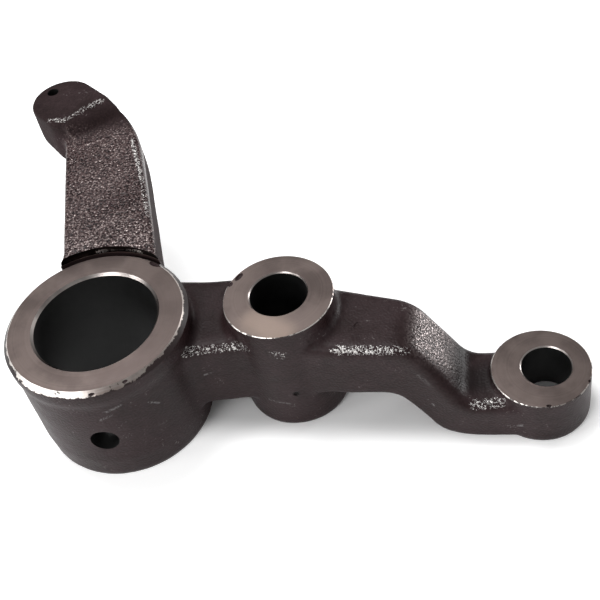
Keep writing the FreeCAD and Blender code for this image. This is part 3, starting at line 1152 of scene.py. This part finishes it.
HUB = Boss(
    "hub", place=mm_span(0.0, 0.0), bore_place=mm_span(0.0, 0.0), top=61.0 * MM, rim=41.0 * MM,
    rim_chamfer=2.2 * MM, bore=27.5 * MM, bore_chamfer=1.1 * MM, foot=39.2 * MM, foot_chamfer=1.2 * MM,
    foot_mouth=0.0,
)
MID_BOSS = Boss(
    "mid", place=mm_span(79.1, 12.0), bore_place=mm_span(79.1, 13.1), top=60.0 * MM, rim=24.0 * MM,
    rim_chamfer=0.4 * MM, bore=12.5 * MM, bore_chamfer=0.5 * MM, foot=24.0 * MM, foot_chamfer=1.2 * MM,
    foot_mouth=0.5 * MM,
)
END_BOSS = Boss(
    "end", place=mm_span(187.8, -0.9), bore_place=mm_span(190.0, 0.0), top=24.3 * MM, rim=21.0 * MM,
    rim_chamfer=0.4 * MM, bore=10.5 * MM, bore_chamfer=0.5 * MM, foot=21.0 * MM, foot_chamfer=1.2 * MM,
    foot_mouth=0.5 * MM,
)
BOSSES = (HUB, MID_BOSS, END_BOSS)


@dataclass(frozen=True)
class Hole:
    """One drilled hole: a point on its axis, the way out, the radius and how deep it goes from that point."""

    name: str
    mouth: Point
    outward: Point
    radius: float
    depth: float

    def along(self, out: float) -> Vector:
        """The point of the axis that lies this far out from the mouth."""
        return Vector(self.mouth) + Vector(self.outward) * out

    def plug(self, skin: Skin) -> bpy.types.Mesh:
        """Fills the hole, so that the skin runs straight over it until it is drilled."""
        radius = self.radius + skin.sink
        return rod(self.name + "_plug", self.along(-self.depth), self.along(-skin.sink), radius)

    def drill(self, skin: Skin) -> bpy.types.Mesh:
        """The drill's sweep."""
        return rod(self.name + "_drill", self.along(-self.depth), self.along(skin.overrun), self.radius)


@dataclass(frozen=True)
class Nick:
    """A small egg-shaped dent: its middle, its half sizes and its turn about Z in degrees."""

    name: str
    place: Point
    size: Point
    turn: float

    def knock(self, shape: bmesh.types.BMesh) -> None:
        """Adds the egg to a shape.

        Args:
            shape: the shape that gathers the dents.
        """
        matrix = Matrix.Translation(self.place) @ Matrix.Rotation(radians(self.turn), 4, "Z")
        matrix = matrix @ Matrix.Diagonal((*self.size, 1.0))
        bmesh.ops.create_icosphere(shape, subdivisions=DENT_SUBDIVISIONS, radius=1.0, matrix=matrix)


HOLES = (
    Hole("lock_pin_hole", mm(4.27, -39.97, 28.0), (0.1063, -0.9943, 0.0), 6.25 * MM, 16.0 * MM),
    Hole("lug_hole", mm(-52.6, 141.96, 80.4), (0.0, 0.0, 1.0), 3.0 * MM, 9.0 * MM),
)

NICKS = (
    Nick("hub_face_nick", mm(20.6, 32.6, 61.0), mm(3.4, 1.4, 0.9), -25.0),
    Nick("mid_face_nick", mm(60.4, 23.7, 60.0), mm(2.6, 1.2, 0.8), 60.0),
    Nick("mid_face_nick_low", mm(57.2, 19.4, 60.0), mm(1.4, 1.1, 0.8), 70.0),
    Nick("bar_top_nick", mm(112.0, 3.2, 49.9), mm(1.9, 0.7, 0.5), 55.0),
    Nick("hub_rim_chip", mm(8.2, -39.6, 60.0), mm(1.9, 0.8, 0.8), 15.0),
    Nick("hub_rim_chip_right", mm(21.5, -33.6, 60.6), mm(1.7, 0.8, 0.8), 32.0),
    Nick("hub_rim_chip_left", mm(-24.6, -32.4, 60.2), mm(1.5, 0.9, 0.8), -36.0),
    Nick("end_rim_nick", mm(207.2, -8.4, 24.0), mm(0.9, 0.9, 0.6), 0.0),
    Nick("end_face_nick", mm(190.0, -20.9, 24.0), mm(1.3, 0.8, 0.6), 0.0),
    Nick("mid_boss_pit", mm(83.6, -11.8, 22.0), mm(1.5, 1.4, 1.5), 0.0),
)

FINISHES = {
    Slot.CAST: CastFinish(),
    Slot.MACHINED: MachinedFinish(polish=MID_FACE_HIGHLIGHT),
    Slot.RIM: RimFinish(base=(0.80, 0.76, 0.72), stain=(0.30, 0.25, 0.23), spots_from=0.60),
    Slot.CHAMFER: MachinedFinish(base=(0.44, 0.40, 0.38), stain=(0.26, 0.23, 0.22), roughness=0.3),
    Slot.BORE: MachinedFinish(base=(0.045, 0.045, 0.045), stain=(0.036, 0.036, 0.036), roughness=0.55),
    # The spot-face wall is near-black, with bright spots that are painted glints.
    Slot.ROOT: MachinedFinish(
        base=(0.016, 0.011, 0.010), stain=(0.010, 0.007, 0.007), spots=(0.95, 0.92, 0.90),
        chips=Noise(1100.0, 4.0, 0.7), spots_from=0.47, spots_by=ROOT_PAINTED_GLINTS,
    ),
}


@dataclass(frozen=True)
class Casting:
    """The whole casting: how its skin is worked, its bosses, its drilled holes and its dents."""

    name: str = "steering_arm_casting"
    skin: Skin = Skin()
    bosses: tuple[Boss, ...] = BOSSES
    holes: tuple[Hole, ...] = HOLES
    nicks: tuple[Nick, ...] = NICKS

    def pour(self, work: Workpiece, finish: bpy.types.Material) -> None:
        """Fills the bores and holes, raises the faces and gives the whole its cast skin.

        Args:
            work: the casting, in the frame's own shape.
            finish: the cast skin's material.
        """
        for boss in self.bosses:
            work.add(boss.stock(self.skin))
        for hole in self.holes:
            work.add(hole.plug(self.skin))
        work.remesh(self.skin.voxel)
        inputs = self.skin.inputs(finish)
        work.shape_by(SkinTree(inputs).tree, inputs)
        LOG.info("cast skin: %d faces", len(work.object.data.polygons))

    def machine(self, work: Workpiece, low: Vector, high: Vector) -> None:
        """Cuts the feet, the faces, the chamfers, the bores and the holes.

        Args:
            work: the casting with its cast skin.
            low: the lowest corner of the frame's own shape.
            high: its highest corner.
        """
        over = self.skin.overrun
        corner = Vector((high.x + over, high.y + over, low.z))
        work.cut(block("foot_plane", low - Vector((over, over, over)), corner), Slot.MACHINED)
        for boss in self.bosses:
            for sweep, slot in boss.sweeps(self.skin):
                work.cut(sweep, slot)
            LOG.info("machined boss: %s", boss.name)
        for hole in self.holes:
            work.cut(hole.drill(self.skin), Slot.BORE)
            LOG.info("drilled hole: %s", hole.name)

    def knock(self, work: Workpiece) -> None:
        """Dents the casting where it was knocked. The dents stand clear of each other.

        Args:
            work: the machined casting.
        """
        shape = bmesh.new()
        for nick in self.nicks:
            nick.knock(shape)
        work.cut(mesh_of("dents", shape), Slot.CAST)
        LOG.info("dents: %s", ", ".join(nick.name for nick in self.nicks))

    def build(self, node: bpy.types.Object) -> bpy.types.Object:
        """Makes the shown casting from the frame's own shape.

        Args:
            node: the frame's node.

        Returns:
            The finished object.
        """
        low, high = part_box(node.name)
        finishes = {slot: finish.material(slot.value) for slot, finish in FINISHES.items()}
        work = Workpiece(self.name, node.data.copy())
        self.pour(work, finishes[Slot.CAST])
        work.dress([finishes[slot] for slot in Slot])
        self.machine(work, low, high)
        self.knock(work)
        mesh = work.object.data
        mesh.shade_smooth()
        mesh.set_sharp_from_angle(angle=self.skin.sharp_angle)
        LOG.info("%s: %d faces", self.name, len(mesh.polygons))
        return work.object


@dataclass(frozen=True)
class Floor:
    """A pale floor that keeps the object's shadow.

    Where it is seen it is lifted to white, away from the shadow under the bar and far off. The lift shows
    to the camera and in metal or glass, and adds no light to the object.
    """

    size: float = 8.0
    near_colour: Colour = (0.94, 0.94, 0.94)
    far_colour: Colour = (0.60, 0.60, 0.60)
    shade_from: Point = (0.040, 0.006, 0.0)
    shade_to: Point = (0.190, 0.000, 0.0)
    shade_reach: Span = (0.012, 0.029)
    near_lift: float = 0.47
    far_reach: Span = (0.5, 1.5)
    far_lift: float = 0.36

    def material(self) -> bpy.types.Material:
        """Makes the material, whose lift only the rays that show the floor can see.

        Returns:
            The material.
        """
        paint = Paint("floor")
        beside = paint.away(self.shade_from, self.shade_to, "shadow under the bar").rise(*self.shade_reach)
        far = ((paint.x**2.0 + paint.y**2.0) ** 0.5).rise(*self.far_reach)
        paths = paint.node("ShaderNodeLightPath").outputs
        rays = ("Is Camera Ray", "Is Glossy Ray", "Is Transmission Ray")
        seen = reduce(Field.or_more, [Field(paint, paths[ray]) for ray in rays])
        lift = (beside * self.near_lift + far * self.far_lift) * seen
        paint.shade("Base Color", paint.blend(far, self.near_colour, self.far_colour))
        paint.shade("Emission Color", paint.blend(lift, BLACK, WHITE))
        paint.shade("Emission Strength", 1.0)
        paint.shade("Roughness", 1.0)
        paint.shade("Specular IOR Level", 0.0)
        return paint.material

    def lay(self) -> None:
        """Lays the floor at the height of the object's feet."""
        half = self.size / 2
        mesh = bpy.data.meshes.new("floor")
        corners = [(-half, -half, 0.0), (half, -half, 0.0), (half, half, 0.0), (-half, half, 0.0)]
        mesh.from_pydata(corners, [], [(0, 1, 2, 3)])
        mesh.materials.append(self.material())
        floor = shown("floor", mesh)


@dataclass(frozen=True)
class Lamp:
    """One round soft box: where it hangs, how wide it is and how strong."""

    name: str
    place: Point
    size: float
    watts: float

    def hang(self, aim: Point) -> None:
        """Hangs the soft box and turns it to the object.

        Args:
            aim: the point it faces.
        """
        data = bpy.data.lights.new(self.name, "AREA")
        data.shape = "DISK"
        data.size = self.size
        data.energy = self.watts
        made = shown(self.name, data)
        made.location = self.place
        made.rotation_mode = "QUATERNION"
        made.rotation_quaternion = (Vector(aim) - Vector(self.place)).to_track_quat("-Z", "Y")


@dataclass(frozen=True)
class Camera:
    """The camera of the photograph, with its turns in degrees and its lens and sensor in millimetres.

    Level is the turn about X at which it looks straight out, and the dip is how far down from there it looks.
    """

    place: Point = (0.1724, -0.2817, 0.3748)
    heading: float = -15.99
    level: float = 90.0
    dip: float = 46.15
    roll: float = -13.40
    lens: float = 62.24
    sensor: float = 36.0

    def stand(self) -> None:
        """Sets the camera up and makes it the scene's own."""
        data = bpy.data.cameras.new("photo_camera")
        data.lens = self.lens
        data.sensor_width = self.sensor
        camera = shown("photo_camera", data)
        heading = Matrix.Rotation(radians(-self.heading), 4, "Z")
        dip = Matrix.Rotation(radians(self.level - self.dip), 4, "X")
        roll = Matrix.Rotation(radians(self.roll), 4, "Z")
        camera.matrix_world = Matrix.Translation(self.place) @ heading @ dip @ roll
        bpy.context.scene.camera = camera


LAMPS = (
    Lamp("key_box", (-0.38, 0.50, 1.84), 0.8, 19.5),
    Lamp("front_box", (-0.75, -1.30, 1.25), 0.9, 13.0),
    Lamp("left_box", (-2.0, -0.9, 0.7), 0.8, 15.0),
    Lamp("right_box", (1.75, 1.45, 0.32), 0.5, 16.0),
)


@dataclass(frozen=True)
class Studio:
    """The floor, the soft boxes, the light that comes from all round, and the camera."""

    floor: Floor = Floor()
    lamps: tuple[Lamp, ...] = LAMPS
    camera: Camera = Camera()
    sky: float = 0.36
    aim: Point = (0.08, 0.03, 0.03)

    def light_all_round(self) -> None:
        """Gives even light from all round."""
        world = bpy.data.worlds.new("studio")
        world.use_nodes = True
        bpy.context.scene.world = world
        light = world.node_tree.nodes["Background"]
        light.inputs["Strength"].default_value = self.sky
        light.inputs["Color"].default_value = (*WHITE, 1.0)

    def build(self) -> None:
        """Lays the floor, hangs the lamps and sets up the camera."""
        self.floor.lay()
        self.light_all_round()
        for lamp in self.lamps:
            lamp.hang(self.aim)
            LOG.info("lamp: %s", lamp.name)
        self.camera.stand()
        bpy.context.scene.view_settings.view_transform = "Standard"


def main() -> None:
    """Builds the looks on the frame."""
    logging.basicConfig(level=logging.INFO, format="%(name)s: %(message)s")
    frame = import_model()
    body = Casting().build(frame["nodes"][NODE])
    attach(body, "root")
    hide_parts(NODE)
    Studio().build()


if __name__ == "__main__":
    main()
